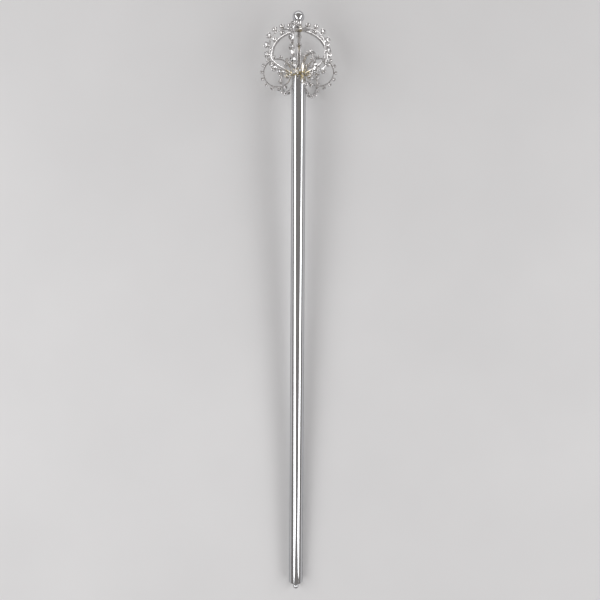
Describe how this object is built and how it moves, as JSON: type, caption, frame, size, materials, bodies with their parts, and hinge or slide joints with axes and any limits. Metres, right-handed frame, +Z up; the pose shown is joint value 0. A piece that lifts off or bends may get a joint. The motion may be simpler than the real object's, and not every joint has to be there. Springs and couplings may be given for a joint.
{
  "type": "sceptre",
  "caption": "Pageant sceptre with a polished metal shaft, an open globe of stone-set bands, stone-set hoops round its base and a ball finial, lying on its side.",
  "frame": {"origin": "middle of the footprint, on the surface that the sceptre lies on", "axes": "+X along the sceptre towards the ball, +Z up; the head rests on its hoops and the foot on its own edge, so the shaft rises a little towards the head"},
  "size_m": [0.534, 0.0704, 0.0644],
  "materials": {
    "polished": "mirror-polished plated metal",
    "plated": "bright plated metal, slightly worn",
    "solder": "yellowish solder, uneven",
    "stones": "clear cut glass"
  },
  "bodies": {
    "root": {"shaft": "polished", "foot_bead": "polished", "collar": "solder", "top_hub": "plated", "ball": "polished", "globe_band_front": "plated", "globe_band_right_front": "plated", "globe_band_right_back": "plated", "globe_band_back": "plated", "globe_band_left_back": "plated", "globe_band_left_front": "plated", "hoop_right_front": "plated", "hoop_right": "plated", "hoop_right_back": "plated", "hoop_left_back": "plated", "hoop_left": "plated"}
  },
  "joints": []
}
